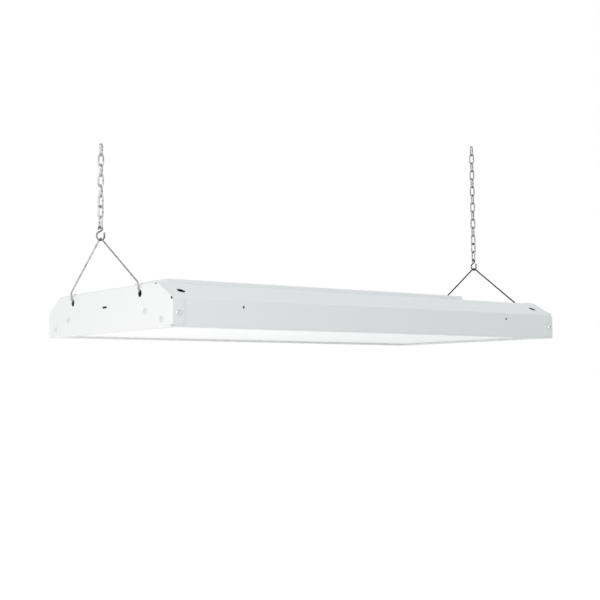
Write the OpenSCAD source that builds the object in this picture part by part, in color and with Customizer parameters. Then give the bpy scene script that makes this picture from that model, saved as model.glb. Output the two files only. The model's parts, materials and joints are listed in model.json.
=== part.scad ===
// Hanging shop light: a two-foot folded-steel LED fixture with an opal lens, hung on two
// wire hangers, S-hooks and link chains. Millimetres, +X along the length, +Z up,
// origin at the middle of the bottom rim.

/* [Housing] */
// Overall length over the end plates
length = 610; // [450:5:1250]
// Overall width over the end plates
width = 310; // [270:5:420]
// Height of the upright sides
side_h = 32.5; // [30:0.5:45]
// How far the sloping shoulders rise above the sides
shoulder_rise = 18.5; // [16:0.5:30]
// How far each shoulder leans in
shoulder_in = 34; // [20:1:50]
// Thickness of the sheet steel
sheet = 0.8; // [0.6:0.1:1.2]
// Outside radius of the bends
bend_r = 2; // [1.6:0.1:3]
// Width of the rim flange turned in under the lens
rim_w = 10; // [8:0.5:16]
// Gap between the housing and the end plates that lap over it
lap_gap = 0.1; // [0.05:0.05:0.3]

/* [End plates] */
// Width of the flanges that lap over the housing's sides
side_flange = 16; // [13:0.5:24]
// Width of the flange that laps over the housing's top
top_flange = 14; // [12:0.5:24]
// Width of the short lips along the shoulders
shoulder_lip = 4; // [3:0.5:8]
// Bend relief left at the ends of each flange
relief = 2.5; // [2.5:0.5:6]
// Distance of each hanger hole from the middle
hanger_y = 85; // [60:1:110]
// Height of the hanger holes above the rim
hanger_z = 40.5; // [38:0.5:42]
// Diameter of the hanger holes
hanger_hole = 8.5; // [6:0.5:9]
// Length of the slot in the middle of the end plate
centre_slot = 11.5; // [8:0.5:16]
// Height of that slot above the rim
centre_slot_z = 30; // [28.5:0.5:32]
// Diameter of the cable hole near each end of the near shoulder
cable_hole = 10; // [6:0.5:11]
// Distance of each cable hole from the end
cable_hole_in = 22; // [20:1:60]

/* [Driver cover] */
// Length of the raised cover
cover_l = 488; // [420:2:540]
// Width of the raised cover
cover_w = 82; // [76:1:100]
// Height of the cover above the housing's top
cover_h = 14; // [12:0.5:30]
// Width of the cover's screw flanges
cover_flange = 12; // [11:0.5:18]
// Diameter of the wiring entry in the cover's top
entry_d = 22.2; // [19:0.1:28]

/* [Lens and light tray] */
// Thickness of the lens gasket
gasket_t = 2; // [1:0.25:3]
// Thickness of the opal lens
lens_t = 3; // [2:0.25:4]
// Height of the light tray's upper face
tray_z = 26; // [25:0.5:27]
// Thickness of the light tray
tray_t = 1; // [0.8:0.1:1.5]
// Number of LED boards side by side
board_count = 4; // [2:1:4]
// Width of one LED board
board_w = 40; // [30:1:44]
// Number of LEDs along one board
led_count = 24; // [12:1:28]
// Length and width of one LED package
led_w = 3; // [2.8:0.1:5]

/* [Drivers] */
// Length of one driver case
driver_l = 165; // [130:1:170]
// Width of one driver case
driver_w = 60; // [50:1:66]
// Height of one driver case
driver_h = 30; // [24:0.5:31]
// Width of the wiring space between the two drivers
wiring_space = 72; // [66:1:90]

/* [Hangers] */
// Diameter of the hanger wire
hanger_wire = 2; // [1.6:0.1:2.4]
// Centreline radius of the hook that goes through the end plate
hook_r = 2.4; // [2.2:0.05:2.8]
// Height of the bend where the hanger turns towards the middle
knee_z = 53; // [51:0.5:60]
// Height of the corner of the hanger's V, before it is rounded
vertex_z = 112; // [100:1:130]
// Centreline radius of the V's rounded top
apex_r = 4; // [3:0.5:6]
// Outward lean of the hanger
hanger_lean = 3.3; // [0:0.1:4]
// Running gap above the hanger's wire in its hole, which leaves the hook room to tilt
plate_gap = 0.3; // [0.15:0.05:0.4]
// Running gap where one wire hangs in another
wire_gap = 0.15; // [0.1:0.05:0.25]

/* [Hooks and chains] */
// Diameter of the S-hook wire
s_wire = 2; // [1.6:0.1:2]
// Centreline radius of the S-hook's open lower hook
s_low_r = 5; // [4:0.1:5.4]
// Centreline radius of the S-hook's closed upper eye
s_eye_r = 2.5; // [2.4:0.05:3]
// Distance between the centres of those two bends
s_rise = 8.8; // [8.6:0.1:10]
// Length of the straight end of the lower hook
s_tail = 5; // [3:0.5:6]
// Diameter of the chain wire
chain_wire = 2; // [1.8:0.1:2]
// Inside length of one link
link_in = 12.5; // [11:0.5:16]
// Inside width of one link
link_gap = 4; // [4:0.1:5]

/* [Fasteners] */
// Diameter of the screw shanks
screw_d = 3; // [2.5:0.1:3.5]
// Diameter of the screw heads
screw_head = 7; // [6:0.1:8]
// Diameter of the rivet shanks
rivet_d = 3.2; // [2.8:0.1:3.6]
// Diameter of the rivet heads
rivet_head = 7.5; // [6:0.1:8]
// Clearance of a shank in its hole, on the diameter
hole_gap = 0.4; // [0.2:0.1:0.6]
// Distance of each accessory hole in the sides from the middle
side_hole_x = 212; // [150:1:215]
// Diameter of the accessory holes
side_hole_d = 3.2; // [2.5:0.1:4]

/* [Hidden] */

WHITE = "#f2f2f0";
PANEL = "#e4e6e8";
STEEL = "#b9bcc0";
DARK = "#3a3a3c";
round_n = 48;
wire_n = 24;
bend_steps = 4;
eps = 0.01;

height = side_h + shoulder_rise;
half_l = length / 2;
half_w = width / 2;
skin = sheet + lap_gap;

// The end plates' outline, up the near side, over the top and down the far side.
end_path = [
    [-half_w, 0], [-half_w, side_h], [-half_w + shoulder_in, height],
    [half_w - shoulder_in, height], [half_w, side_h], [half_w, 0]
];
// The housing's outside lies one sheet and the lap gap within that outline, and its ends stop
// short of the end plates' bends.
shell_path = offset_path(end_path, skin);
shell_top = height - skin;
shell_half = half_w - skin;
shell_end = half_l - bend_r - lap_gap;
shoulder_len = norm(end_path[2] - end_path[1]);
shoulder_turn = atan2(shoulder_rise, shoulder_in);

// ---- plane geometry ----

function unit(v) = v / norm(v);
function right_of(v) = [v[1], -v[0]];
function side_normal(path, i) = right_of(unit(path[i + 1] - path[i]));

// An open path moved t to its right, each corner where the moved lines meet.
function offset_path(path, t) = [
    for (i = [0 : len(path) - 1])
        let (
            a = side_normal(path, max(i - 1, 0)),
            b = side_normal(path, min(i, len(path) - 2))
        )
        path[i] + t * (a + b) / (1 + a * b)
];

// The turn to the left at a corner, in degrees.
function turn_at(path, i) =
    let (a = unit(path[i] - path[i - 1]), b = unit(path[i + 1] - path[i]))
    atan2(a[0] * b[1] - a[1] * b[0], a * b);

// An open path with its corners rounded: radius r_out where it turns right, r_in where it turns left.
function rounded(path, r_out, r_in) = [
    path[0],
    for (i = [1 : len(path) - 2])
        let (
            turn = turn_at(path, i),
            r = turn < 0 ? r_out : r_in,
            a = unit(path[i] - path[i - 1]),
            start = path[i] - a * r * tan(abs(turn) / 2),
            centre = start + sign(turn) * r * [-a[1], a[0]],
            from = atan2(start[1] - centre[1], start[0] - centre[0])
        )
        for (k = [0 : bend_steps])
            centre + r * [cos(from + turn * k / bend_steps), sin(from + turn * k / bend_steps)],
    path[len(path) - 1]
];

function reversed(list) = [for (i = [len(list) - 1 : -1 : 0]) list[i]];

// Folded sheet: path is its outer face, and the metal lies to the right of it.
module folded(path, t = sheet, r = bend_r)
    polygon(concat(
        rounded(path, r, r - t),
        reversed(rounded(offset_path(path, t), r - t, r))
    ));

// A profile drawn in Y and Z, run along X about the middle.
module along_x(run) rotate([90, 0, 90]) linear_extrude(run, center = true) children();

module on_both_sides() {
    children();
    mirror([0, 1, 0]) children();
}
module at_both_ends() {
    children();
    mirror([1, 0, 0]) children();
}

// ---- wire ----

module wire(run, d) cylinder(h = run, d = d, $fn = wire_n);

// Part of a ring of wire, from angle 0 round the origin.
module wire_arc(r, angle, d)
    rotate_extrude(angle = angle, $fn = round_n) translate([r, 0]) circle(d = d, $fn = wire_n);

// In wire bent at odd angles the runs and bends stop joint_gap short of each other, and a ball a
// hair wider than the wire joins them.
joint_gap = 0.1;
module wire_joint(d) sphere(d = d * 1.02, $fn = round_n);
module bent_run(run, d) translate([0, 0, joint_gap]) wire(run - 2 * joint_gap, d);
module bent_arc(r, angle, d) {
    trim = joint_gap / r * 180 / PI;
    rotate(trim) wire_arc(r, angle - 2 * trim, d);
}

// ---- fasteners ----

// A pan-head screw pointing down: the head sits on z = 0 and carries a cross recess.
module pan_screw(shank) {
    head_h = screw_head * 0.32;
    slot_w = screw_head * 0.15;
    difference() {
        rotate_extrude($fn = round_n)
            polygon([
                [0, 0], [screw_head / 2, 0],
                for (a = [0 : 15 : 90]) [screw_head / 2 * cos(a * 0.9), head_h * (0.3 + 0.7 * sin(a))],
                [0, head_h]
            ]);
        for (turn = [0, 90]) rotate(turn)
            translate([-screw_head * 0.3, -slot_w / 2, head_h * 0.45])
                cube([screw_head * 0.6, slot_w, head_h]);
    }
    translate([0, 0, -shank]) cylinder(h = shank, d = screw_d, $fn = round_n);
}

// A blind rivet pointing down through a stack: a domed head, the shank and the upset tail.
module rivet(stack) {
    head_h = rivet_head * 0.2;
    rotate_extrude($fn = round_n)
        polygon([
            [0, 0], [rivet_head / 2, 0],
            for (a = [0 : 15 : 75]) [rivet_head / 2 * cos(a), head_h * (0.2 + 0.8 * sin(a))],
            [0, head_h]
        ]);
    translate([0, 0, -stack - eps]) cylinder(h = stack + eps, d = rivet_d, $fn = round_n);
    translate([0, 0, -stack - 2]) cylinder(h = 2, d = rivet_d * 1.5, $fn = round_n);
}

// ---- housing ----

cover_lap = 12;
cover_hole_l = cover_l - 2 * cover_lap;
cover_hole_w = cover_w - cover_lap;
cover_screw_y = cover_w / 2 + cover_flange / 2;
cover_screw_in = 30;
cover_screw_xs = [-cover_l / 2 + cover_screw_in, 0, cover_l / 2 - cover_screw_in];
flange_screw_x = half_l - side_flange / 2;
flange_screw_z = side_h / 2 - 0.75;
side_hole_z = side_h - 8.5;
notch_w = hanger_wire + 3;
notch_in = 2 * hook_r + hanger_wire;

// A hole through a sheet that stands in one of the three planes, d across and clear of the sheet
// on both sides.
cut = 10;
module hole_x(d) rotate([0, 90, 0]) cylinder(h = cut, d = d, center = true, $fn = round_n);
module hole_y(d) rotate([90, 0, 0]) cylinder(h = cut, d = d, center = true, $fn = round_n);
module hole_z(d) cylinder(h = cut, d = d, center = true, $fn = round_n);

// Carries its children to the middle of the near shoulder, with +Z out of the sheet.
module on_shoulder()
    translate([0, -half_w + shoulder_in / 2, side_h + shoulder_rise / 2])
        rotate([shoulder_turn, 0, 0]) children();

module slot(run, wide, deep)
    linear_extrude(deep, center = true) union() {
        square([run - wide, wide], center = true);
        for (s = [-1, 1]) translate([s * (run - wide) / 2, 0]) circle(d = wide, $fn = round_n);
    }

module housing_shell() color(PANEL)
    difference() {
        along_x(2 * shell_end)
            folded(concat(
                [[-shell_half + rim_w, 0], [-shell_half, 0]],
                [for (i = [1 : 4]) shell_path[i]],
                [[shell_half, 0], [shell_half - rim_w, 0]]
            ));
        translate([-cover_hole_l / 2, -cover_hole_w / 2, shell_top - cut / 2])
            cube([cover_hole_l, cover_hole_w, cut]);
        at_both_ends() {
            on_both_sides() {
                translate([side_hole_x, -half_w, side_hole_z]) hole_y(side_hole_d);
                translate([flange_screw_x, -half_w, flange_screw_z]) hole_y(screw_d + hole_gap);
                translate([half_l - skin - notch_in, hanger_y - notch_w / 2, shell_top - 2])
                    cube([notch_in + 1, notch_w, 4]);
            }
            translate([half_l - cable_hole_in, 0, 0]) on_shoulder() hole_z(cable_hole);
        }
        for (x = cover_screw_xs) on_both_sides()
            translate([x, cover_screw_y, shell_top]) hole_z(screw_d + hole_gap);
    }

// ---- end plates, drawn for the right-hand end ----

rivet_y = hanger_y + 12;
rivet_z = 19.5;
corner_rivet_in = 22;
corner_rivet_y = half_w - corner_rivet_in;
corner_rivet_z = 9;
rim_cut = skin + rim_w + 0.4;
centre_slot_w = 2.4;

// One flange along the edge from a to b of the outline, lying inwards from the plate's outer face.
module edge_flange(a, b, flange) {
    along = b - a;
    strip = norm(along) - 2 * relief;
    middle = (a + b) / 2;
    translate([half_l, middle[0], middle[1]])
        rotate([atan2(along[1], along[0]), 0, 0])
            rotate([90, 0, 90])
                rotate([0, 90, 0])
                    linear_extrude(strip, center = true)
                        folded([[0, -bend_r - 1], [0, 0], [flange, 0]]);
}

module end_plate() {
    flanges = [side_flange, shoulder_lip, top_flange, shoulder_lip, side_flange];
    web_in = bend_r + 0.5;
    foot_h = 1.4;
    web = concat(
        [[-half_w, 0], [-half_w, foot_h], [-half_w + web_in, foot_h]],
        [for (i = [1 : 4]) offset_path(end_path, web_in)[i]],
        [[half_w - web_in, foot_h], [half_w, foot_h], [half_w, 0]]
    );
    difference() {
        union() {
            translate([half_l - sheet / 2, 0, 0]) along_x(sheet) polygon(web);
            for (i = [0 : 4]) edge_flange(end_path[i], end_path[i + 1], flanges[i]);
            translate([half_l - rim_w, -half_w + rim_cut, 0])
                cube([rim_w - eps, width - 2 * rim_cut, sheet]);
        }
        on_both_sides() {
            translate([half_l, hanger_y, hanger_z]) hole_x(hanger_hole);
            translate([half_l, rivet_y, rivet_z]) hole_x(rivet_d + hole_gap);
            translate([half_l, corner_rivet_y, corner_rivet_z]) hole_x(rivet_d + hole_gap);
            translate([half_l - sheet - notch_in, hanger_y - notch_w / 2, height - bend_r - 1])
                cube([notch_in, notch_w, bend_r + 2]);
            translate([flange_screw_x, -half_w, flange_screw_z]) hole_y(screw_d + hole_gap);
        }
        translate([half_l, 0, centre_slot_z]) rotate([0, 90, 0]) rotate(90)
            slot(centre_slot, centre_slot_w, cut);
    }
}

module left_end_plate() color(WHITE) mirror([1, 0, 0]) end_plate();
module right_end_plate() color(WHITE) end_plate();

module end_plate_screws() color(STEEL)
    at_both_ends() on_both_sides()
        translate([flange_screw_x, -half_w, flange_screw_z]) rotate([90, 0, 0]) pan_screw(6);

module tray_rivets() color(WHITE)
    at_both_ends() on_both_sides()
        translate([half_l, rivet_y, rivet_z]) rotate([0, 90, 0]) rivet(sheet + tray_gap + tray_t);

module corner_rivets() color(WHITE)
    at_both_ends() on_both_sides()
        translate([half_l, corner_rivet_y, corner_rivet_z]) rotate([0, 90, 0]) rivet(2 * sheet + lap_gap);

// ---- raised driver cover ----

module driver_cover() color(WHITE)
    difference() {
        translate([0, 0, shell_top]) union() {
            along_x(cover_l)
                folded([
                    [-cover_w / 2 - cover_flange, sheet], [-cover_w / 2, sheet],
                    [-cover_w / 2, cover_h], [cover_w / 2, cover_h],
                    [cover_w / 2, sheet], [cover_w / 2 + cover_flange, sheet]
                ]);
            at_both_ends()
                translate([cover_l / 2 - sheet / 2, 0, 0]) along_x(sheet)
                    polygon(rounded([
                        [-cover_w / 2 + sheet / 2, 0], [-cover_w / 2 + sheet / 2, cover_h - sheet / 2],
                        [cover_w / 2 - sheet / 2, cover_h - sheet / 2], [cover_w / 2 - sheet / 2, 0]
                    ], bend_r, bend_r));
        }
        translate([0, 0, shell_top]) cylinder(h = cover_h + 5, d = entry_d, $fn = 96);
        for (x = cover_screw_xs) on_both_sides()
            translate([x, cover_screw_y, shell_top]) hole_z(screw_d + hole_gap);
    }

module cover_screws() color(STEEL)
    for (x = cover_screw_xs) on_both_sides()
        translate([x, cover_screw_y, shell_top + sheet]) pan_screw(6);

// ---- lens, gasket and light tray ----

gasket_end = half_l - sheet - 1.2;
gasket_side = shell_half - bend_r - 0.3;
rim_in_end = half_l - rim_w;
rim_in_side = shell_half - rim_w;
lens_z = sheet + gasket_t;

module lens_gasket() color(WHITE)
    translate([0, 0, sheet]) linear_extrude(gasket_t)
        difference() {
            square([2 * gasket_end, 2 * gasket_side], center = true);
            square([2 * rim_in_end, 2 * rim_in_side], center = true);
        }

module lens() color("#fbfbf8")
    translate([0, 0, lens_z]) linear_extrude(lens_t)
        square([2 * gasket_end - 0.6, 2 * gasket_side - 0.6], center = true);

// A small angle under each corner rivet, whose foot holds the lens down.
clip_w = 16;
clip_foot = 10;
clip_notch = 6.4;
clip_z = lens_z + lens_t + lap_gap;
clip_top = corner_rivet_z + 5;
module lens_clips() color(STEEL)
    at_both_ends() on_both_sides() difference() {
        translate([0, corner_rivet_y, 0]) rotate(90) along_x(clip_w)
            folded([
                [-half_l + skin + clip_foot, clip_z], [-half_l + skin, clip_z], [-half_l + skin, clip_top]
            ], sheet, sheet + 0.4);
        translate([half_l, corner_rivet_y, corner_rivet_z]) hole_x(rivet_d + hole_gap);
        translate([half_l - skin - sheet - 3, corner_rivet_y - clip_notch / 2, clip_z - 1])
            cube([3, clip_notch, 3]);
    }

tray_gap = 0.1;
tray_end = half_l - sheet - tray_gap;
tray_side = gasket_side - 1;
tray_foot = lens_z + lens_t + 0.2;
tray_flange_z = rivet_z - 6;
tray_run = half_l - side_flange - 4;

module light_tray() color(WHITE)
    difference() {
        union() {
            along_x(2 * tray_run)
                folded([
                    [-tray_side, tray_foot], [-tray_side, tray_z],
                    [tray_side, tray_z], [tray_side, tray_foot]
                ], tray_t);
            rotate(90) along_x(2 * (rivet_y + 14))
                folded([
                    [-tray_end, tray_flange_z], [-tray_end, tray_z],
                    [tray_end, tray_z], [tray_end, tray_flange_z]
                ], tray_t);
        }
        at_both_ends() on_both_sides()
            translate([half_l, rivet_y, rivet_z]) hole_x(rivet_d + hole_gap);
        translate([grommet_x, 0, tray_z]) hole_z(grommet_hole);
        for (p = concat(driver_screw_places(), board_screw_places(), [ground_at]))
            translate([p[0], p[1], tray_z]) hole_z(screw_d + hole_gap);
    }

board_l = 2 * (tray_run - 5);
board_t = 1.2;
board_z = tray_z - tray_t - board_t;
board_pitch = 2 * (tray_side - tray_t) / board_count;
led_pitch = board_l / led_count;
led_t = 0.7;

function board_y(i) = (i - (board_count - 1) / 2) * board_pitch;
function board_screw_places() = [
    for (i = [0 : board_count - 1], x = [-0.5, 0, 0.5])
        [x * (board_l - 2 * led_pitch), board_y(i) + board_w / 2 - 5]
];

module led_boards() color("#f7f7f2")
    difference() {
        for (i = [0 : board_count - 1])
            translate([-board_l / 2, board_y(i) - board_w / 2, board_z]) cube([board_l, board_w, board_t]);
        for (p = board_screw_places()) translate([p[0], p[1], board_z]) hole_z(screw_d + hole_gap);
    }

module leds() color("#f4e37a")
    for (i = [0 : board_count - 1], k = [0 : led_count - 1])
        translate([(k + 0.5) * led_pitch - board_l / 2, board_y(i), board_z - led_t / 2])
            cube([led_w, led_w, led_t], center = true);

module board_screws() color(STEEL)
    for (p = board_screw_places()) translate([p[0], p[1], board_z]) rotate([180, 0, 0]) pan_screw(4.5);

socket_l = 8;
socket_w = 9;
socket_h = 4;
socket_in = 2;
module board_sockets() color(WHITE)
    for (i = [0 : board_count - 1])
        translate([-board_l / 2 + socket_in, board_y(i) - board_w / 2 + socket_in, board_z - socket_h])
            difference() {
                cube([socket_l, socket_w, socket_h]);
                for (s = [-2, 2]) translate([-1, socket_w / 2 + s, socket_h / 2]) rotate([0, 90, 0])
                    cylinder(h = 6, d = 2, $fn = wire_n);
            }

// ---- drivers and wiring ----

foot_l = 8;
foot_t = 1.5;
seam_deep = 0.4;
seam_wide = 0.6;
driver_at = wiring_space / 2 + foot_l + driver_l / 2;
driver_out = driver_at + driver_l / 2;
grommet_d = 14;
grommet_hole = grommet_d - 3;
grommet_x = -driver_out - foot_l - grommet_d / 2 - 9;
function driver_screw_places() = [
    for (s = [-1, 1], e = [-1, 1]) [s * driver_at + e * (driver_l / 2 + foot_l / 2), 0]
];

// A sheet-metal driver case with a lid seam, rounded edges and a slotted foot at each end.
module driver() {
    translate([0, 0, tray_z]) difference() {
        union() {
            along_x(driver_l) polygon(rounded([
                [-driver_w / 2, 0], [-driver_w / 2, driver_h], [driver_w / 2, driver_h], [driver_w / 2, 0]
            ], bend_r, bend_r));
            translate([-driver_l / 2 - foot_l, -driver_w / 4, 0])
                cube([driver_l + 2 * foot_l, driver_w / 2, foot_t]);
        }
        on_both_sides() translate([-driver_l / 2 - 1, driver_w / 2 - seam_deep, foot_t + 4])
            cube([driver_l + 2, 1, seam_wide]);
        at_both_ends() translate([driver_l / 2 + foot_l / 2, 0, 0]) hole_z(screw_d + hole_gap);
    }
}

module left_driver() color("#d8dadc") translate([-driver_at, 0, 0]) driver();
module right_driver() color("#d8dadc") translate([driver_at, 0, 0]) driver();

module driver_screws() color(STEEL)
    for (p = driver_screw_places()) translate([p[0], p[1], tray_z + foot_t]) pan_screw(5);

// Three lever connectors that join the supply to the drivers.
splice_l = 17;
splice_w = 13;
splice_h = 6;
lever_w = 5.75;
module splice_connectors() color("#d9a441")
    for (i = [-1, 0, 1]) translate([i * 18 - splice_w / 2, -splice_l / 2, tray_z]) {
        cube([splice_w, splice_l, splice_h]);
        for (x = [0.5, 6.75]) translate([x, 2, splice_h]) rotate([-6, 0, 0])
            translate([0, 0, -1]) cube([lever_w, 12, 2.2]);
    }

ground_at = [30, 13];
module ground_screw() color("#3f8f4f")
    translate([ground_at[0], ground_at[1], tray_z]) {
        cylinder(h = 2.6, d = 7, $fn = 6);
        translate([0, 0, -4]) cylinder(h = 4, d = screw_d, $fn = round_n);
    }

// A rubber ring with a groove that grips the tray's edge.
module tray_grommet() color(DARK)
    translate([grommet_x, 0, tray_z - tray_t / 2]) rotate_extrude($fn = round_n) {
        hole_r = grommet_hole / 2;
        groove_r = hole_r - 0.1;
        lip_r = hole_r + 1.5;
        polygon([
            [hole_r - 2, -2.5], [lip_r, -2.5], [lip_r, -tray_t / 2], [groove_r, -tray_t / 2],
            [groove_r, tray_t / 2], [lip_r, tray_t / 2], [lip_r, 2.5], [hole_r - 2, 2.5]
        ]);
    }

// The left driver's two output wires, bent down through the grommet.
lead_d = 1.8;
lead_bend = 6;
lead_top = tray_z + 12;
lead_drop = lead_top - lead_bend - tray_z + 4;
module output_leads() color("#b03030")
    for (y = [-1.6, 1.6]) translate([grommet_x, y, tray_z - 4]) {
        bent_run(lead_drop, lead_d);
        translate([0, 0, lead_drop]) wire_joint(lead_d);
        translate([lead_bend, 0, lead_drop]) rotate([90, 0, 0]) rotate(90) bent_arc(lead_bend, 90, lead_d);
        translate([lead_bend, 0, lead_drop + lead_bend]) {
            wire_joint(lead_d);
            rotate([0, 90, 0]) bent_run(-driver_out - grommet_x - lead_bend, lead_d);
        }
    }

// ---- wire hangers, drawn for the right-hand end ----

pivot_x = half_l - sheet / 2;
pivot_z = hanger_z + hanger_hole / 2 - hanger_wire / 2 - plate_gap;
hook_z = pivot_z + hook_r;
tip_z = height + 1;
knee_v = (knee_z - hook_z) / cos(hanger_lean);
vertex_v = (vertex_z - hook_z) / cos(hanger_lean);
v_half = atan2(hanger_y, vertex_v - knee_v);
knee_r = 5;
apex_v = vertex_v - apex_r * (1 / sin(v_half) - 1);
apex_x = pivot_x + hook_r + apex_v * sin(hanger_lean);
apex_z = hook_z + apex_v * cos(hanger_lean);

// The hanger bends in through its hole, and its two legs meet over the middle.
module hanger() {
    knee_cut = knee_r * tan(v_half / 2);
    apex_cut = apex_r * tan(90 - v_half);
    slope_l = norm([hanger_y, vertex_v - knee_v]) - knee_cut - apex_cut;
    translate([pivot_x, 0, hook_z]) {
        on_both_sides() translate([0, hanger_y, 0]) {
            translate([-hook_r, 0, 0]) wire(tip_z - hook_z, hanger_wire);
            rotate([-90, 0, 0]) wire_arc(hook_r, 180, hanger_wire);
            translate([hook_r, 0, 0]) wire_joint(hanger_wire);
        }
        translate([hook_r, 0, 0]) rotate([0, hanger_lean, 0]) {
            on_both_sides() {
                translate([0, hanger_y, 0]) {
                    bent_run(knee_v - knee_cut, hanger_wire);
                    translate([0, 0, knee_v - knee_cut]) wire_joint(hanger_wire);
                    translate([0, -knee_r, knee_v - knee_cut]) rotate([90, 0, 90])
                        bent_arc(knee_r, v_half, hanger_wire);
                }
                translate([0, hanger_y, knee_v]) rotate([v_half, 0, 0]) translate([0, 0, knee_cut]) {
                    wire_joint(hanger_wire);
                    bent_run(slope_l, hanger_wire);
                    translate([0, 0, slope_l]) wire_joint(hanger_wire);
                }
            }
            translate([0, 0, apex_v - apex_r]) rotate([90, 0, 90]) rotate(v_half)
                bent_arc(apex_r, 180 - 2 * v_half, hanger_wire);
        }
    }
}

module left_hanger() color(STEEL) mirror([1, 0, 0]) hanger();
module right_hanger() color(STEEL) hanger();

// ---- S-hooks ----

s_low_z = apex_z - hanger_wire / 2 - wire_gap - s_wire / 2 + s_low_r;
s_eye_z = s_low_z + s_rise;
s_cross = asin((s_low_r + s_eye_r) / s_rise);
s_diagonal = s_rise * cos(s_cross);
eye_end = 215;

// The open hook carries the hanger, the nearly closed eye carries the chain.
module s_hook(x) translate([x, 0, s_low_z]) rotate([90, 0, 0]) {
    rotate(180 - s_cross) bent_arc(s_low_r, 180 + s_cross, s_wire);
    translate([s_low_r, 0, 0]) {
        wire_joint(s_wire);
        rotate([-90, 0, 0]) bent_run(s_tail, s_wire);
    }
    translate([-s_low_r * cos(s_cross), s_low_r * sin(s_cross), 0])
        rotate([-90, 0, 0]) rotate([0, s_cross, 0]) {
            wire_joint(s_wire);
            bent_run(s_diagonal, s_wire);
            translate([0, 0, s_diagonal]) wire_joint(s_wire);
        }
    translate([0, s_rise, 0]) rotate(-s_cross) bent_arc(s_eye_r, eye_end + s_cross, s_wire);
}

module left_s_hook() color(STEEL) s_hook(-apex_x);
module right_s_hook() color(STEEL) s_hook(apex_x);

// ---- chains ----

bow_r = (link_gap + chain_wire) / 2;
link_straight = link_in - link_gap;
link_pitch = link_in - wire_gap;
first_bow_z = s_eye_z + s_eye_r - s_wire / 2 - wire_gap - chain_wire / 2;

// Each link is turned about a quarter from the one below it, the lowest three with a small twist.
left_turns = [90, 190, 295, 397];
right_turns = [80, 168, 275, 377];
function turn(turns, i) = turns[min(i, 4) - 1] + 90 * max(i - 4, 0);

// One welded link whose lower bow starts at z = 0.
module link() translate([0, 0, bow_r]) {
    for (s = [-1, 1]) translate([s * bow_r, 0, 0]) wire(link_straight, chain_wire);
    translate([0, 0, link_straight]) rotate([90, 0, 0]) wire_arc(bow_r, 180, chain_wire);
    rotate([-90, 0, 0]) wire_arc(bow_r, 180, chain_wire);
}

module left_link(i) color(STEEL)
    translate([-apex_x, 0, first_bow_z + (i - 1) * link_pitch]) rotate(turn(left_turns, i)) link();
module right_link(i) color(STEEL)
    translate([apex_x, 0, first_bow_z + (i - 1) * link_pitch]) rotate(turn(right_turns, i)) link();

housing_shell();
left_end_plate();
right_end_plate();
driver_cover();
lens_gasket();
lens();
lens_clips();
light_tray();
led_boards();
leds();
board_sockets();
board_screws();
left_driver();
right_driver();
driver_screws();
splice_connectors();
tray_grommet();
output_leads();
ground_screw();
cover_screws();
end_plate_screws();
tray_rivets();
corner_rivets();
left_hanger();
right_hanger();
left_s_hook();
right_s_hook();
left_link(1);  // left_chain_link_1
left_link(2);  // left_chain_link_2
left_link(3);  // left_chain_link_3
left_link(4);  // left_chain_link_4
left_link(5);  // left_chain_link_5
left_link(6);  // left_chain_link_6
left_link(7);  // left_chain_link_7
left_link(8);  // left_chain_link_8
right_link(1);  // right_chain_link_1
right_link(2);  // right_chain_link_2
right_link(3);  // right_chain_link_3
right_link(4);  // right_chain_link_4
right_link(5);  // right_chain_link_5
right_link(6);  // right_chain_link_6
right_link(7);  // right_chain_link_7
right_link(8);  // right_chain_link_8
right_link(9);  // right_chain_link_9
right_link(10);  // right_chain_link_10
right_link(11);  // right_chain_link_11
right_link(12);  // right_chain_link_12
right_link(13);  // right_chain_link_13
right_link(14);  // right_chain_link_14
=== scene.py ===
"""A hanging shop light: white folded-steel housing, opal lens, wire hangers, S-hooks and chains."""

import json
import math
import random

import bmesh
import bpy
from mathutils import Matrix, Vector


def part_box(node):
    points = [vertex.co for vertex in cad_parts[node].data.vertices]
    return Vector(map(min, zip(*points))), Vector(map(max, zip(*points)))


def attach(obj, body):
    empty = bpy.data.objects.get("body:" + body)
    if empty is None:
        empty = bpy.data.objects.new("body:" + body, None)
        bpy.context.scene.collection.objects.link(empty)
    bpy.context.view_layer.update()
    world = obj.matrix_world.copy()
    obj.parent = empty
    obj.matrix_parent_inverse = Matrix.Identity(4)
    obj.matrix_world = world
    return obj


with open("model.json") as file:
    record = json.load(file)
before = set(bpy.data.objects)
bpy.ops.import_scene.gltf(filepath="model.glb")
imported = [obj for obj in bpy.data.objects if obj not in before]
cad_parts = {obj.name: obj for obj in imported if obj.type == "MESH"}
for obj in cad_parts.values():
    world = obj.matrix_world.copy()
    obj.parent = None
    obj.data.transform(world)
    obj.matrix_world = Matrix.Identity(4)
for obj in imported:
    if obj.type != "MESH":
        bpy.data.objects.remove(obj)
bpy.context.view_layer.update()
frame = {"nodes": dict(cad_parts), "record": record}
NODES = frame["nodes"]
scene = bpy.context.scene

# ---- camera ----

# Solved from the places of the housing's corners in the photograph
CAMERA_AT = Vector((-0.90596, -1.18094, -0.06452))
CAMERA_YAW = math.radians(36.9426)
CAMERA_PITCH = math.radians(4.4496)
CAMERA_ROLL = math.radians(-0.4314)
FOCAL_PIXELS = 1115.06
FRAME_PIXELS = 600
SENSOR_WIDTH = 36.0
CLIP_NEAR = 0.01
CLIP_FAR = 100


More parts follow.
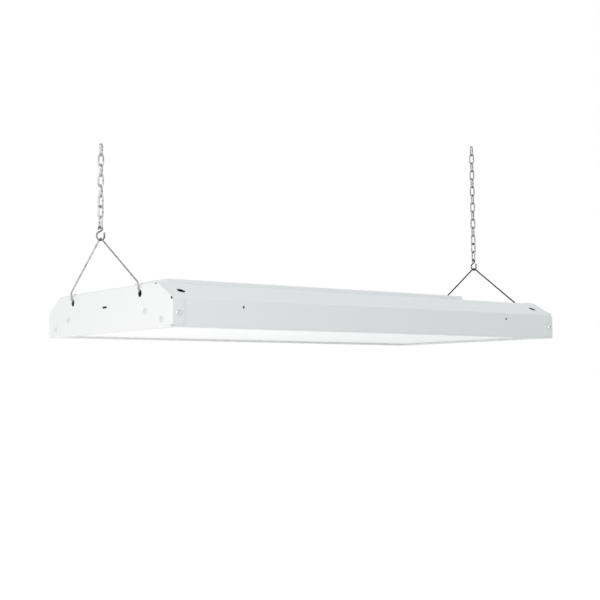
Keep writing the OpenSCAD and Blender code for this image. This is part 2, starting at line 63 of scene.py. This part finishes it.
def make_camera():
    """The camera, turned from the +Y direction by its yaw, pitch and roll."""
    forward = Vector((
        math.sin(CAMERA_YAW) * math.cos(CAMERA_PITCH),
        math.cos(CAMERA_YAW) * math.cos(CAMERA_PITCH),
        math.sin(CAMERA_PITCH),
    ))
    level = Vector((math.cos(CAMERA_YAW), -math.sin(CAMERA_YAW), 0))
    upright = level.cross(forward)
    right = level * math.cos(CAMERA_ROLL) + upright * math.sin(CAMERA_ROLL)
    up = upright * math.cos(CAMERA_ROLL) - level * math.sin(CAMERA_ROLL)
    camera = bpy.data.objects.new("camera", bpy.data.cameras.new("camera"))
    camera.data.sensor_width = SENSOR_WIDTH
    camera.data.sensor_fit = "HORIZONTAL"
    camera.data.lens = FOCAL_PIXELS / FRAME_PIXELS * SENSOR_WIDTH
    camera.data.clip_start = CLIP_NEAR
    camera.data.clip_end = CLIP_FAR
    turn = Matrix((right, up, -forward)).transposed().to_4x4()
    camera.matrix_world = Matrix.Translation(CAMERA_AT) @ turn
    scene.collection.objects.link(camera)
    scene.camera = camera


make_camera()

# ---- node tools ----

FINISH_OUTPUTS = (("Colour", "Color"), ("Roughness", "Float"), ("Height", "Float"))


def rgb(r, g, b):
    return (r, g, b, 1.0)


def finish_group(name, inputs):
    """A node group that puts out a finish: its colour, roughness and height. Inputs are (name, default)."""
    tree = bpy.data.node_groups.new(name, "ShaderNodeTree")
    for label, value in inputs:
        kind = "Color" if isinstance(value, tuple) else "Float"
        socket = tree.interface.new_socket(label, in_out="INPUT", socket_type="NodeSocket" + kind)
        socket.default_value = value
    for label, kind in FINISH_OUTPUTS:
        tree.interface.new_socket(label, in_out="OUTPUT", socket_type="NodeSocket" + kind)
    given = tree.nodes.new("NodeGroupInput").outputs
    place = tree.nodes.new("ShaderNodeTexCoord").outputs["Object"]
    return tree, given, place, tree.nodes.new("NodeGroupOutput")


def feed(tree, made, inputs):
    """Sets each input of a node to its value, or links it where the value is another node's output."""
    for key, value in inputs.items():
        if isinstance(value, bpy.types.NodeSocket):
            tree.links.new(value, made.inputs[key])
        else:
            made.inputs[key].default_value = value


def node(tree, kind, inputs):
    """A shader node with its inputs fed."""
    made = tree.nodes.new("ShaderNode" + kind)
    feed(tree, made, inputs)
    return made


def maths(tree, operation, first, second, clamp=False):
    made = node(tree, "Math", {0: first, 1: second})
    made.operation = operation
    made.use_clamp = clamp
    return made.outputs[0]


# The Mix node keeps a set of sockets for each kind of value, and these are the colours'.
MIX_AMOUNT = 0
MIX_FIRST = 6
MIX_SECOND = 7
MIX_RESULT = 2


def blend(tree, amount, first, second, way="MIX"):
    """Mixes two colours."""
    made = tree.nodes.new("ShaderNodeMix")
    made.data_type = "RGBA"
    made.blend_type = way
    feed(tree, made, {MIX_AMOUNT: amount, MIX_FIRST: first, MIX_SECOND: second})
    return made.outputs[MIX_RESULT]


def spread(tree, value, low, high, to_low, to_high):
    """Moves a value from the range low to high into the range to_low to to_high."""
    return node(tree, "MapRange", {
        "Value": value, "From Min": low, "From Max": high, "To Min": to_low, "To Max": to_high,
    }).outputs[0]


def noise(tree, place, scale, detail, roughness):
    return node(tree, "TexNoise", {
        "Vector": place, "Scale": scale, "Detail": detail, "Roughness": roughness,
    }).outputs["Fac"]


# ---- shared finishes ----


def coat_group():
    """Powder coat: orange peel, faint clouding, and a little handling dirt in broad patches."""
    tree, given, place, out = finish_group("powder_coat", (
        ("Colour", rgb(0.9, 0.9, 0.9)), ("Soil Colour", rgb(0.6, 0.6, 0.58)), ("Clouding", 0.02),
        ("Soil", 0.02), ("Peel Scale", 900.0), ("Gloss Low", 0.38), ("Gloss High", 0.5),
    ))
    cloud_scale = 9.0
    speck_scale = 160.0
    peel = noise(tree, place, given["Peel Scale"], 2.0, 0.55)
    clouds = noise(tree, place, cloud_scale, 4.0, 0.6)
    specks = noise(tree, place, speck_scale, 5.0, 0.7)
    shade = maths(tree, "MULTIPLY", maths(tree, "SUBTRACT", clouds, 0.5), given["Clouding"])
    clouded = blend(tree, 1.0, given["Colour"], maths(tree, "ADD", 1.0, shade), "MULTIPLY")
    # Dirt shows where the densest specks fall into a cloud.
    dirty = maths(tree, "MULTIPLY", spread(tree, specks, 0.6, 0.8, 0.0, 1.0),
                  spread(tree, clouds, 0.45, 0.7, 0.0, 1.0))
    soil = maths(tree, "MULTIPLY", dirty, given["Soil"], clamp=True)
    feed(tree, out, {
        "Colour": blend(tree, soil, clouded, given["Soil Colour"]),
        "Roughness": spread(tree, clouds, 0.3, 0.7, given["Gloss Low"], given["Gloss High"]),
        "Height": peel,
    })
    return tree


def zinc_group():
    """Zinc plate on steel: spangled greys in bright and dull patches, and fine grain. On the wires the deep
    dull patches are partly painted reflection of dark surroundings.
    """
    tree, given, place, out = finish_group("zinc_plate", (
        ("Bright", rgb(0.6, 0.61, 0.63)), ("Dull", rgb(0.3, 0.3, 0.31)), ("Patch Scale", 220.0),
        ("Line Scale", 2400.0), ("Gloss Low", 0.25), ("Gloss High", 0.5),
    ))
    patch_share = 0.75
    patches = noise(tree, place, given["Patch Scale"], 5.0, 0.65)
    grain = noise(tree, place, given["Line Scale"], 2.0, 0.5)
    both = maths(tree, "ADD", maths(tree, "MULTIPLY", patches, patch_share),
                 maths(tree, "MULTIPLY", grain, 1 - patch_share))
    bright = spread(tree, both, 0.38, 0.62, 0.0, 1.0)
    feed(tree, out, {
        "Colour": blend(tree, bright, given["Dull"], given["Bright"]),
        "Roughness": spread(tree, bright, 0.0, 1.0, given["Gloss High"], given["Gloss Low"]),
        "Height": grain,
    })
    return tree


def moulded_group():
    """Moulded plastic or rubber: spark-eroded grain and flow marks."""
    tree, given, place, out = finish_group("moulded_grain", (
        ("Colour", rgb(0.8, 0.8, 0.8)), ("Deep", rgb(0.7, 0.7, 0.7)), ("Grain Scale", 1800.0),
        ("Flow Scale", 40.0), ("Gloss Low", 0.4), ("Gloss High", 0.6),
    ))
    grain = noise(tree, place, given["Grain Scale"], 3.0, 0.6)
    flow = noise(tree, place, given["Flow Scale"], 3.0, 0.5)
    deep = spread(tree, flow, 0.35, 0.7, 0.0, 1.0)
    feed(tree, out, {
        "Colour": blend(tree, deep, given["Colour"], given["Deep"]),
        "Roughness": spread(tree, grain, 0.3, 0.7, given["Gloss Low"], given["Gloss High"]),
        "Height": grain,
    })
    return tree


POWDER_COAT = coat_group()
ZINC_PLATE = zinc_group()
MOULDED = moulded_group()


def material(name, finish, bump, bump_depth, values, **shader):
    """A Principled material fed by one of the shared finishes. The relief is bump_depth metres deep."""
    made = bpy.data.materials.new(name)
    made.use_nodes = True
    tree = made.node_tree
    principled = tree.nodes["Principled BSDF"]
    for key, value in shader.items():
        principled.inputs[key.replace("_", " ")].default_value = value
    surface = tree.nodes.new("ShaderNodeGroup")
    surface.node_tree = finish
    feed(tree, surface, values)
    relief = node(tree, "Bump", {
        "Height": surface.outputs["Height"], "Strength": bump, "Distance": bump_depth,
    })
    feed(tree, principled, {
        "Base Color": surface.outputs["Colour"], "Roughness": surface.outputs["Roughness"],
        "Normal": relief.outputs[0],
    })
    return made


WHITE_COAT = material(
    "white_powder_coat", POWDER_COAT, 0.25, 0.00004,
    {"Colour": rgb(0.905, 0.912, 0.92), "Soil Colour": rgb(0.62, 0.62, 0.6), "Clouding": 0.03, "Soil": 0.04,
     "Peel Scale": 850.0, "Gloss Low": 0.36, "Gloss High": 0.46},
    IOR=1.5,
)
# The rivets are white-painted; their grey, below the sheet's white, is painted shade of the domed heads,
# while the soil is dirt.
SHADED_RIVET_PAINT = material(
    "painted_rivet", POWDER_COAT, 0.3, 0.00004,
    {"Colour": rgb(0.74, 0.75, 0.755), "Soil Colour": rgb(0.5, 0.5, 0.48), "Clouding": 0.05, "Soil": 0.1,
     "Peel Scale": 1400.0, "Gloss Low": 0.3, "Gloss High": 0.42},
    IOR=1.5,
)
# The opal lens's faint emission is a painted glow that stands in for light on its downward face; the base
# colour is the opal's own.
OPAL_WITH_PAINTED_GLOW = material(
    "opal_lens", MOULDED, 0.06, 0.00003,
    {"Colour": rgb(0.95, 0.95, 0.94), "Deep": rgb(0.93, 0.935, 0.93), "Grain Scale": 1200.0,
     "Flow Scale": 6.0, "Gloss Low": 0.32, "Gloss High": 0.42},
    IOR=1.49, Emission_Color=rgb(1.0, 1.0, 0.985), Emission_Strength=0.13,
)
WHITE_FOAM = material(
    "white_foam", MOULDED, 0.6, 0.0003,
    {"Colour": rgb(0.84, 0.84, 0.82), "Deep": rgb(0.74, 0.74, 0.72), "Grain Scale": 1500.0,
     "Flow Scale": 90.0, "Gloss Low": 0.75, "Gloss High": 0.95},
)
BLACK_RUBBER = material(
    "black_rubber", MOULDED, 0.3, 0.0001,
    {"Colour": rgb(0.05, 0.05, 0.052), "Deep": rgb(0.03, 0.03, 0.032), "Grain Scale": 1500.0,
     "Flow Scale": 90.0, "Gloss Low": 0.55, "Gloss High": 0.8},
)


def zinc_wire(name, bright, dull, patch_scale):
    """Plated wire in a given tone; the copies below differ in tone as painted shade and painted reflection,
    not in their metal.
    """
    return material(
        name, ZINC_PLATE, 0.12, 0.00003,
        {"Bright": rgb(bright, bright, bright * 1.02), "Dull": rgb(dull, dull, dull * 1.02),
         "Patch Scale": patch_scale, "Line Scale": 2600.0, "Gloss Low": 0.2, "Gloss High": 0.4},
        Metallic=1.0,
    )


# The right-hand chain, hook and hanger are darker copies of the same zinc as painted shade; the hooks' and
# the right hanger's near-black tones are painted reflection of dark surroundings.
LEFT_CHAIN = zinc_wire("left_chain_zinc", 0.63, 0.25, 260.0)
SHADED_RIGHT_CHAIN = zinc_wire("shaded_right_chain_zinc", 0.49, 0.18, 260.0)
LEFT_HOOK = zinc_wire("left_hook_zinc", 0.4, 0.06, 180.0)
SHADED_RIGHT_HOOK = zinc_wire("shaded_right_hook_zinc", 0.2, 0.03, 180.0)
BRIGHT_HANGER = zinc_wire("bright_hanger", 0.46, 0.24, 200.0)
SHADED_HANGER = zinc_wire("shaded_hanger", 0.05, 0.018, 200.0)
WELD_ZINC = zinc_wire("weld_zinc", 0.42, 0.13, 700.0)
SCREW_STEEL = material(
    "zinc_screw", ZINC_PLATE, 0.15, 0.00003,
    {"Bright": rgb(0.8, 0.81, 0.82), "Dull": rgb(0.6, 0.61, 0.62), "Patch Scale": 400.0,
     "Line Scale": 3000.0, "Gloss Low": 0.34, "Gloss High": 0.5},
    Metallic=1.0,
)
CASE_STEEL = material(
    "galvanised_case", ZINC_PLATE, 0.1, 0.00003,
    {"Bright": rgb(0.66, 0.67, 0.68), "Dull": rgb(0.5, 0.51, 0.52), "Patch Scale": 60.0,
     "Line Scale": 900.0, "Gloss Low": 0.32, "Gloss High": 0.48},
    Metallic=1.0,
)
BOARD_WHITE = material(
    "solder_mask", MOULDED, 0.08, 0.00002,
    {"Colour": rgb(0.9, 0.9, 0.86), "Deep": rgb(0.87, 0.87, 0.83), "Grain Scale": 900.0,
     "Flow Scale": 25.0, "Gloss Low": 0.25, "Gloss High": 0.35},
)
LED_YELLOW = material(
    "led_phosphor", MOULDED, 0.05, 0.00002,
    {"Colour": rgb(0.9, 0.76, 0.2), "Deep": rgb(0.85, 0.66, 0.12), "Grain Scale": 2500.0,
     "Flow Scale": 500.0, "Gloss Low": 0.08, "Gloss High": 0.16},
    Coat_Weight=0.6,
)
SOCKET_WHITE = material(
    "socket_plastic", MOULDED, 0.15, 0.00003,
    {"Colour": rgb(0.86, 0.86, 0.83), "Deep": rgb(0.8, 0.8, 0.77), "Grain Scale": 2200.0,
     "Flow Scale": 120.0, "Gloss Low": 0.35, "Gloss High": 0.5},
)
AMBER = material(
    "amber_plastic", MOULDED, 0.05, 0.00002,
    {"Colour": rgb(0.8, 0.42, 0.06), "Deep": rgb(0.7, 0.32, 0.03), "Grain Scale": 1500.0,
     "Flow Scale": 90.0, "Gloss Low": 0.08, "Gloss High": 0.18},
)
RED_PVC = material(
    "red_lead", MOULDED, 0.1, 0.00002,
    {"Colour": rgb(0.5, 0.03, 0.02), "Deep": rgb(0.4, 0.02, 0.015), "Grain Scale": 2000.0,
     "Flow Scale": 150.0, "Gloss Low": 0.35, "Gloss High": 0.5},
)
GREEN_PAINT = material(
    "green_screw", POWDER_COAT, 0.2, 0.00003,
    {"Colour": rgb(0.05, 0.3, 0.1), "Soil Colour": rgb(0.3, 0.3, 0.3), "Clouding": 0.1, "Soil": 0.3,
     "Peel Scale": 2000.0, "Gloss Low": 0.25, "Gloss High": 0.4},
)

FINISH_OF_SLOT = {
    "white_sheet": WHITE_COAT, "white_rivet": SHADED_RIVET_PAINT, "opal_lens": OPAL_WITH_PAINTED_GLOW, "white_gasket": WHITE_FOAM,
    "black_rubber": BLACK_RUBBER, "bare_steel": SCREW_STEEL, "zinc_wire": LEFT_CHAIN,
    "board_white": BOARD_WHITE, "led_yellow": LED_YELLOW, "socket_white": SOCKET_WHITE,
    "driver_case": CASE_STEEL, "amber_connector": AMBER, "red_lead": RED_PVC, "green_screw": GREEN_PAINT,
}
# The wires whose tone differs from that of their slot, as painted shade and painted reflection
FINISH_OF_NODE = {
    "left_hanger": BRIGHT_HANGER, "right_hanger": SHADED_HANGER,
    "left_s_hook": LEFT_HOOK, "right_s_hook": SHADED_RIGHT_HOOK,
    **{name: SHADED_RIGHT_CHAIN for name in NODES if name.startswith("right_chain_link")},
}


def dress_cad_nodes():
    """Gives every CAD node its finish."""
    for subpart in frame["record"]["subparts"]:
        mesh = NODES[subpart["node"]].data
        finish = FINISH_OF_NODE.get(subpart["node"], FINISH_OF_SLOT[subpart["material_slot"]])
        if mesh.materials:
            for place in range(len(mesh.materials)):
                mesh.materials[place] = finish
        else:
            mesh.materials.append(finish)


dress_cad_nodes()

# ---- chain welds ----

# The bead's profile in wire radii: (distance from the wire's middle line, place along the wire)
WELD_PROFILE = (
    (0.0, -1.5), (0.86, -1.4), (1.1, -0.85), (1.24, -0.3), (1.17, 0.15), (1.22, 0.55), (1.06, 1.0),
    (0.86, 1.4), (0.0, 1.5),
)
WELD_TURNS = 14
# How far the bead's surface varies, as a share of its radius, and how much of that is smoothed again
WELD_LUMPS = 0.05
WELD_SMOOTHING = 0.3


def link_side(name):
    """The middle of one straight side of a chain link, and the radius of its wire."""
    low, high = (Vector(corner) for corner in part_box(name))
    middle = (low + high) / 2
    spots = [(vertex.co - middle).xy for vertex in NODES[name].data.vertices]
    # The link lies along the direction in which its points, seen from above, vary most.
    broad = sum(spot.x ** 2 - spot.y ** 2 for spot in spots)
    skew = sum(spot.x * spot.y for spot in spots)
    turn = 0.5 * math.atan2(2 * skew, broad)
    across = Vector((math.cos(turn), math.sin(turn)))
    wire = max(abs(spot.cross(across)) for spot in spots)
    reach = max(abs(spot.dot(across)) for spot in spots)
    return middle + (across * (reach - wire)).to_3d(), wire


def weld_bead(link, seed):
    """The swelling where the ends of a link's wire were welded together."""
    at, wire = link_side(link)
    shape = bmesh.new()
    ring = [shape.verts.new((radius * wire, 0, place * wire)) for radius, place in WELD_PROFILE]
    edges = [shape.edges.new(pair) for pair in zip(ring, ring[1:])]
    bmesh.ops.spin(shape, geom=ring + edges, cent=(0, 0, 0), axis=(0, 0, 1), angle=2 * math.pi,
                   steps=WELD_TURNS, use_merge=True)
    bmesh.ops.remove_doubles(shape, verts=shape.verts, dist=wire / 100)
    chance = random.Random(seed)
    for vert in shape.verts:
        if vert.co.xy.length > wire:
            vert.co.xy *= 1 + chance.uniform(-WELD_LUMPS, WELD_LUMPS)
    bmesh.ops.smooth_vert(shape, verts=shape.verts, factor=WELD_SMOOTHING, use_axis_x=True,
                          use_axis_y=True)
    bmesh.ops.recalc_face_normals(shape, faces=shape.faces)
    bmesh.ops.translate(shape, verts=shape.verts, vec=at)
    for face in shape.faces:
        face.smooth = True
    mesh = bpy.data.meshes.new(link + "_weld")
    shape.to_mesh(mesh)
    shape.free()
    mesh.materials.append(WELD_ZINC)
    bead = bpy.data.objects.new(link + "_weld", mesh)
    scene.collection.objects.link(bead)
    rounded = bead.modifiers.new("round", "SUBSURF")
    rounded.levels = rounded.render_levels = 1
    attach(bead, link)


for seed, link in enumerate(name for name in sorted(NODES) if "chain_link" in name):
    weld_bead(link, seed)

# ---- studio ----

FLOOR_Z = -1.6
FLOOR_REACH = 30.0
FLOOR_COLOUR = rgb(0.8, 0.8, 0.8)
FLOOR_GLOW = 0.55
WHITE = rgb(1.0, 1.0, 1.0)
SKY_COLOUR = rgb(0.946, 0.988, 1.0)
SKY_STRENGTH = 0.665
LAMP_WHITE = (1.0, 1.0, 1.0)
KEY_COLOUR = (1.0, 0.952, 0.9)


def show_or_light(tree, lighting, shown):
    """One shader for what a camera, a gloss or a glass sees, and another for the light on the object."""
    path = tree.nodes.new("ShaderNodeLightPath")
    direct = maths(tree, "ADD", path.outputs["Is Camera Ray"], path.outputs["Is Glossy Ray"], clamp=True)
    seen = maths(tree, "ADD", direct, path.outputs["Is Transmission Ray"], clamp=True)
    return node(tree, "MixShader", {0: seen, 1: lighting.outputs[0], 2: shown.outputs[0]}).outputs[0]


def make_world():
    world = bpy.data.worlds.new("studio")
    world.use_nodes = True
    tree = world.node_tree
    tree.nodes.clear()
    light = node(tree, "Background", {"Color": SKY_COLOUR, "Strength": SKY_STRENGTH})
    backdrop = node(tree, "Background", {"Color": WHITE, "Strength": 1.0})
    node(tree, "OutputWorld", {"Surface": show_or_light(tree, light, backdrop)})
    scene.world = world


def make_floor():
    """A pale floor that looks white and keeps the object's shadow."""
    shape = bmesh.new()
    bmesh.ops.create_grid(shape, x_segments=1, y_segments=1, size=FLOOR_REACH)
    bmesh.ops.translate(shape, verts=shape.verts, vec=(0, 0, FLOOR_Z))
    mesh = bpy.data.meshes.new("floor")
    shape.to_mesh(mesh)
    shape.free()
    floor = bpy.data.objects.new("floor", mesh)
    scene.collection.objects.link(floor)
    made = bpy.data.materials.new("floor_white")
    made.use_nodes = True
    tree = made.node_tree
    tree.nodes.clear()
    matt = node(tree, "BsdfDiffuse", {"Color": FLOOR_COLOUR})
    glow = node(tree, "Emission", {"Color": WHITE, "Strength": FLOOR_GLOW})
    both = node(tree, "AddShader", {0: matt.outputs[0], 1: glow.outputs[0]})
    node(tree, "OutputMaterial", {"Surface": show_or_light(tree, matt, both)})
    mesh.materials.append(made)


def area_light(name, at, aim, size, watts, colour):
    """A square lamp of the given size that the camera doesn't see."""
    lamp = bpy.data.lights.new(name, "AREA")
    lamp.shape = "SQUARE"
    lamp.size = size
    lamp.energy = watts
    lamp.color = colour
    holder = bpy.data.objects.new(name, lamp)
    holder.location = at
    holder.rotation_euler = (Vector(aim) - Vector(at)).to_track_quat("-Z", "Y").to_euler()
    holder.visible_camera = False
    scene.collection.objects.link(holder)


make_world()
make_floor()
area_light("key_left", (-1.45, -0.92, 0.15), (-0.25, 0.0, 0.02), 0.9, 9.0, KEY_COLOUR)
area_light("fill_left", (-0.85, 0.2, -0.45), (-0.3, 0.05, 0.0), 0.5, 0.8, KEY_COLOUR)
area_light("fill_below", (-0.35, 0.0, -0.5), (-0.3, 0.0, 0.0), 0.3, 0.64, KEY_COLOUR)
area_light("top_right", (0.55, -0.25, 0.9), (0.25, -0.12, 0.05), 0.6, 0.5, LAMP_WHITE)

scene.view_settings.view_transform = "Standard"
